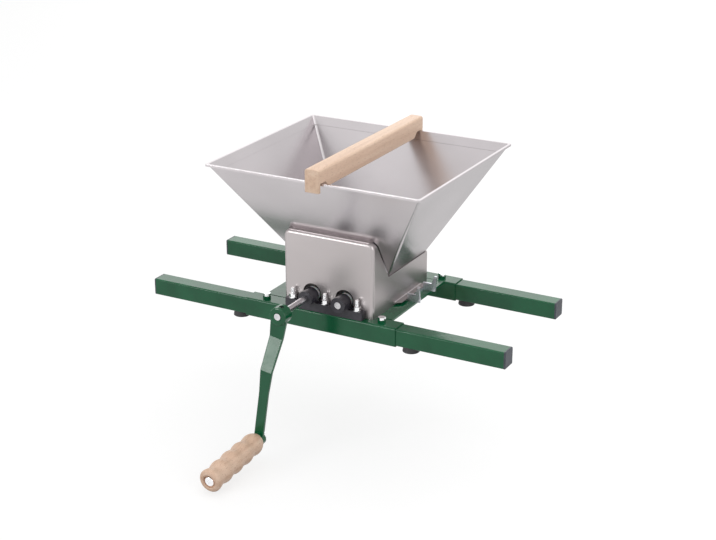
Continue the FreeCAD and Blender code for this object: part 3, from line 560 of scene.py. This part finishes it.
def wood(name, pale, middle, dark):
    """Beech with growth bands and short dark pores that run along y, planed and oiled."""
    finish, tree, shader, place = new_finish(name, middle, 0.5)
    grain, pores = (110, 4, 110), (1300, 170, 1300)
    pore_colour, no_pore = (0.58, 0.47, 0.40), (1.0, 1.0, 1.0)
    bands = tones(tree, cloud(tree, place, grain, detail=4.0, rough=0.6),
                  (0.30, dark), (0.52, middle), (0.74, pale))
    ticks = tones(tree, cloud(tree, place, pores, detail=2.0), (0.30, pore_colour), (0.41, no_pore))
    mix = tree.nodes.new("ShaderNodeMix")
    mix.data_type = "RGBA"
    mix.blend_type = "MULTIPLY"
    mix.inputs["Factor"].default_value = 0.75
    first_colour, second_colour, mixed = mix.inputs[6], mix.inputs[7], mix.outputs[2]
    tree.links.new(bands, first_colour)
    tree.links.new(ticks, second_colour)
    tree.links.new(mixed, shader.inputs["Base Color"])
    dulled(tree, shader, cloud(tree, place, grain), 0.40, 0.60)
    relief(tree, shader, (cloud(tree, place, pores, detail=2.0), 0.00006),
           (cloud(tree, place, grain), 0.0002))
    return finish


def block(name, low, high):
    """Box-shaped blank between two corners, left open for shaping in edit mode."""
    bpy.ops.object.select_all(action="DESELECT")
    bpy.ops.mesh.primitive_cube_add(size=1.0, location=[(a + b) / 2 for a, b in zip(low, high)],
                                    scale=[b - a for a, b in zip(low, high)])
    blank = bpy.context.object
    blank.name = name
    blank.data.name = name
    bpy.ops.object.transform_apply(location=True, rotation=True, scale=True)
    bpy.ops.object.mode_set(mode="EDIT")
    return blank


def draw_out(y, z):
    """In edit mode, draw the selected face out by y and z."""
    bpy.ops.mesh.extrude_region_move(TRANSFORM_OT_translate={"value": (0.0, y, z)})


bar_wood = wood("bar_beech", (0.93, 0.72, 0.56), (0.87, 0.63, 0.47), (0.77, 0.53, 0.38))
(left, _, foot), (right, reach, top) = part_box("hopper_bar")
body_end, notch_in, notch_out = 0.1292, 0.1375, 0.1515
belly, seat_on_rim = 0.2332, 0.2415
top_round, edge_break, longest_end = 0.0038, 0.0009, 0.05
bar = block("wooden_bar", (left, 0.0, belly), (right, body_end, top))
pick(bar, "FACE", lambda middle, face: middle.y > body_end - near)
draw_out(notch_in - body_end, 0.0)
pick(bar, "EDGE", lambda middle, edge: middle.y > notch_in - near and middle.z < belly + near)
bpy.ops.transform.translate(value=(0.0, 0.0, seat_on_rim - belly))
pick(bar, "FACE", lambda middle, face: middle.y > notch_in - near and abs(face.normal.y) > 0.9)
draw_out(notch_out - notch_in, 0.0)
draw_out(reach - notch_out, 0.0)
pick(bar, "FACE", lambda middle, face: middle.y > notch_out and face.normal.z < -0.9)
draw_out(0.0, foot - seat_on_rim)
pick(bar, "FACE", lambda middle, face: abs(middle.y) < near)
bpy.ops.mesh.delete(type="FACE")
bpy.ops.object.mode_set(mode="OBJECT")
other_half = bar.modifiers.new("other_half", "MIRROR")
other_half.use_axis = (False, True, False)
other_half.use_clip = True
bpy.ops.object.modifier_apply(modifier="other_half")
bpy.ops.object.mode_set(mode="EDIT")
bpy.ops.mesh.select_all(action="SELECT")
bpy.ops.mesh.dissolve_limited(angle_limit=radians(1.0))
bpy.ops.mesh.normals_make_consistent(inside=False)
pick(bar, "EDGE", lambda middle, edge: middle.z > top - near and
     abs(edge.verts[0].co.y - edge.verts[1].co.y) > longest_end)
bpy.ops.mesh.bevel(offset=top_round, segments=6, affect="EDGES")
bpy.ops.object.mode_set(mode="OBJECT")
broken = bar.modifiers.new("broken_edges", "BEVEL")
broken.width = edge_break
broken.segments = 3
broken.limit_method = "ANGLE"
broken.angle_limit = radians(40.0)
bpy.ops.object.modifier_apply(modifier="broken_edges")
smooth(bar, 30.0)
put(bar, Matrix.Identity(4), "hopper_bar", bar_wood)
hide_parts("hopper_bar")

# Shafts. Ground steel bar, 10 mm thick, with turned ends and a light film of oil. They run in
# the bushes, and the crank turns the longer one.
ground, tree, shader, place = new_finish("ground_steel", (0.64, 0.63, 0.65), 0.24, 1.0)
coloured(tree, shader, cloud(tree, place, (160, 60, 160), detail=4.0),
         (0.55, 0.54, 0.57), (0.72, 0.71, 0.72))
turning_marks = cloud(tree, place, (90, 2400, 90), detail=2.0)
dulled(tree, shader, turning_marks, 0.16, 0.32)
relief(tree, shader, (turning_marks, 0.000004))
dress(ground, "drive_shaft", "idler_shaft")

# Drive pins. Steel pins, ground like the shafts and driven through them. They carry the gears
# and the rollers round.
dress(ground, "drive_pins", "idler_pins")

# Gears. Hobbed from plain steel and left oily, so they are darker than the shafts, with the fine
# cutter marks across the faces.
gear_steel, tree, shader, place = new_finish("gear_steel", (0.36, 0.36, 0.37), 0.36, 1.0)
coloured(tree, shader, cloud(tree, place, 90, detail=4.0), (0.28, 0.275, 0.27), (0.42, 0.42, 0.43))
cutter_marks = cloud(tree, place, (300, 1500, 300))
dulled(tree, shader, cutter_marks, 0.26, 0.48)
relief(tree, shader, (cutter_marks, 0.00001))
dress(gear_steel, "drive_gear", "idler_gear")

# Rollers. Cast aluminium with rings of saw teeth, which tear the fruit. The casting skin is dull
# and a little rough all over.
casting, tree, shader, place = new_finish("cast_aluminium", (0.58, 0.58, 0.59), 0.42, 1.0)
coloured(tree, shader, cloud(tree, place, 140, detail=5.0), (0.46, 0.46, 0.47), (0.66, 0.66, 0.67))
dulled(tree, shader, cloud(tree, place, 400, detail=4.0), 0.34, 0.55)
relief(tree, shader, (cloud(tree, place, 600, detail=4.0), 0.0001))
dress(casting, "drive_roller", "idler_roller")

# Crank. Flat steel bar forged with a joggle, so that the grip clears the frame, with a hub welded
# on above and an eye below. It is enamelled like the frame, and a grub screw holds it on the shaft.
crank_turn, crank_droop, crank_reach = radians(9.0), radians(4.4), 0.193
shaft_x, shaft_z = -0.02625, 0.055
upper_front, lower_front, bar_thick, bar_break = -0.1900, -0.2040, 0.005, 0.0009
hub_front, hub_length, hub_radius, edge = -0.194, 0.018, 0.0130, 0.0006
eye_front, eye_length, eye_radius = lower_front - 0.002, 0.009, 0.0100
hub_front_edge = ((0.0, 0.0114), (0.0004, 0.0124), (0.0013, hub_radius))
shaft_bore, shaft_bore_mouth = 0.00502, ((-0.001, 0.0073), (0.0, 0.0063))
bolt_bore, bolt_bore_length = 0.00402, 0.014
screw_bore_low, screw_bore_high, screw_slack = 0.004, 0.014, 0.00005
on_crank = Matrix.Translation((shaft_x, 0.0, shaft_z)) @ Matrix.Rotation(crank_turn, 4, "Y")
along_y = Matrix.Rotation(radians(-90.0), 4, "X")
eye_at = Vector((0.0, lower_front, -crank_reach))
droop = (Matrix.Translation(eye_at) @ Matrix.Rotation(crank_droop, 4, "X")
         @ Matrix.Translation(-eye_at))
# Each row is a height from the shaft, the width there, and where the front face is.
bends = ((0.0, 0.0260, upper_front), (-0.0338, 0.0210, upper_front), (-0.0812, 0.0186, -0.2064),
         (-0.1172, 0.0144, -0.20562), (-crank_reach, 0.0144, lower_front))
z, wide, front = bends[0]
middle = (0.0, front + bar_thick / 2, z)
bpy.ops.object.select_all(action="DESELECT")
bpy.ops.mesh.primitive_plane_add(size=1.0, location=middle)
arm = bpy.context.object
arm.name = "crank"
arm.data.name = "crank"
bpy.ops.object.transform_apply(location=True, rotation=True, scale=True)
bpy.ops.object.mode_set(mode="EDIT")
bpy.ops.mesh.select_all(action="SELECT")
bpy.ops.transform.resize(value=(wide, bar_thick, 1.0), center_override=middle)
for next_z, next_wide, next_front in bends[1:]:
    draw_out(next_front - front, next_z - z)
    bpy.ops.transform.resize(value=(next_wide / wide, 1.0, 1.0),
                             center_override=(0.0, next_front + bar_thick / 2, next_z))
    z, wide, front = next_z, next_wide, next_front
bpy.ops.mesh.select_all(action="SELECT")
bpy.ops.mesh.normals_make_consistent(inside=False)
pick(arm, "EDGE", lambda middle, edge: abs(edge.verts[0].co.z - edge.verts[1].co.z) > 0.01)
bpy.ops.mesh.bevel(offset=bar_break, segments=3, affect="EDGES")
bpy.ops.object.mode_set(mode="OBJECT")
hub = turned("hub", (*hub_front_edge, (hub_length - edge, hub_radius),
                     (hub_length, hub_radius - edge)), 72)
settle(hub, Matrix.Translation((0.0, hub_front, 0.0)) @ along_y)
shaped_by(arm, hub, "UNION")
eye = turned("eye", ((0.0, eye_radius - edge), (edge, eye_radius),
                     (eye_length - edge, eye_radius), (eye_length, eye_radius - edge)), 64)
settle(eye, droop @ Matrix.Translation((0.0, eye_front, -crank_reach)) @ along_y)
shaped_by(arm, eye, "UNION")
bore = turned("bore", (*shaft_bore_mouth, (0.0013, shaft_bore),
                       (hub_length + 0.002, shaft_bore)), 64)
settle(bore, Matrix.Translation((0.0, hub_front, 0.0)) @ along_y)
shaped_by(arm, bore, "DIFFERENCE")
bore = turned("bore", ((0.0, bolt_bore), (bolt_bore_length, bolt_bore)), 48)
settle(bore, droop @ Matrix.Translation((0.0, eye_front - 0.002, -crank_reach)) @ along_y)
shaped_by(arm, bore, "DIFFERENCE")
low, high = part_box("crank_set_screw")
screw_bore = (high[0] - low[0]) / 2 + screw_slack
bore = turned("bore", ((screw_bore_low, screw_bore), (screw_bore_high, screw_bore)), 32)
settle(bore, Matrix.Translation((0.0, (low[1] + high[1]) / 2, 0.0)))
shaped_by(arm, bore, "DIFFERENCE")
smooth(arm, 14.0)
put(arm, on_crank, "drive", green)
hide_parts("crank_arm")

# Set screw of the crank. A grub screw of blackened steel with a hexagon socket, sunk in the hub,
# which it locks on the drive shaft.
blackened, tree, shader, place = new_finish("blackened_steel", (0.03, 0.03, 0.032), 0.42, 0.6)
dulled(tree, shader, cloud(tree, place, 500, detail=4.0), 0.3, 0.55)
relief(tree, shader, (cloud(tree, place, 900), 0.00003))
dress(blackened, "crank_set_screw")

# Grip. Turned from beech with five swellings for the fingers, the thinnest next to the crank, and
# a counterbore for the head of its bolt. The end grain is darker.
grip_wood = wood("grip_beech", (0.90, 0.68, 0.53), (0.82, 0.58, 0.43), (0.70, 0.46, 0.32))
grip_inner, grip_length, ring_count = -0.2077, 0.120, 96
first_swell, last_swell = 0.012, 0.1155
swell_radius, waist_radius, end_radius = 0.017, 0.01475, 0.013
swell_pitch = (last_swell - first_swell) / 4
slim_length, slim_share = 0.055, 0.10
bolt_way, head_recess, head_depth, head_flare = 0.0049, 0.0095, 0.004, 0.0012


def swelling(at):
    """Outside radius of the grip at a distance from its inner end."""
    if first_swell <= at <= last_swell:
        wave = (1.0 - cos(2.0 * pi * (at - first_swell) / swell_pitch)) / 2.0
        radius = swell_radius - (swell_radius - waist_radius) * wave
    else:
        share = ((first_swell - at) / first_swell if at < first_swell
                 else (at - last_swell) / (grip_length - last_swell))
        radius = swell_radius - (swell_radius - end_radius) * share ** 2
    slim = max(0.0, 1.0 - at / slim_length)
    return radius * (1.0 - slim_share * slim ** 1.5)


rings = [grip_length * (number / ring_count) for number in range(ring_count + 1)]
handle = turned("grip", [(at, swelling(at)) for at in rings], 72)
head_seat = grip_length - head_depth
recess = turned("recess", ((-0.001, bolt_way), (head_seat, bolt_way), (head_seat, head_recess),
                           (grip_length - 0.0008, head_recess),
                           (grip_length + 0.0004, head_recess + head_flare)), 64)
shaped_by(handle, recess, "DIFFERENCE")
smooth(handle, 35.0)
on_grip = (on_crank @ droop @ Matrix.Translation((0.0, grip_inner, -crank_reach))
           @ Matrix.Rotation(radians(90.0), 4, "X"))
put(handle, on_grip, "grip", grip_wood)
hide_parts("grip")

# Bolt, washer and nut of the grip. Bright plated steel. The long pan head bolt goes through the
# grip, which turns on it, and the crank's eye, and the nut is behind the eye.
dress(bright, "grip_bolt", "grip_washer", "grip_nut")
